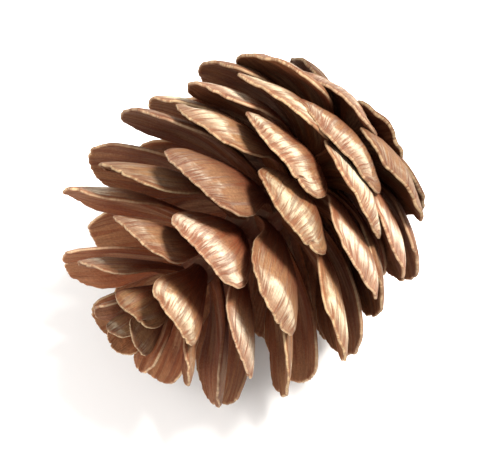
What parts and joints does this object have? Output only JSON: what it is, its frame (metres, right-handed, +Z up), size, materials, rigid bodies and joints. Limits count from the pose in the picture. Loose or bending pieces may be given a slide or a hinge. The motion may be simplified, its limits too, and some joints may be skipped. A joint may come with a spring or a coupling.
{
  "type": "pine cone",
  "caption": "Small dry spruce cone with open, cupped scales spiralling round a woody axis and a short stub of stalk, lying on its side.",
  "frame": {"origin": "middle of the base of the bounding box, at the height of the surface it lies on", "axes": "+Z up, -Y towards the cone's apex, +Y towards its stalk"},
  "size_m": [0.0232, 0.0248, 0.0222],
  "materials": {
    "cone_wood": "matt, dry, weathered brown"
  },
  "bodies": {
    "root": {"cone": "cone_wood"}
  },
  "joints": []
}
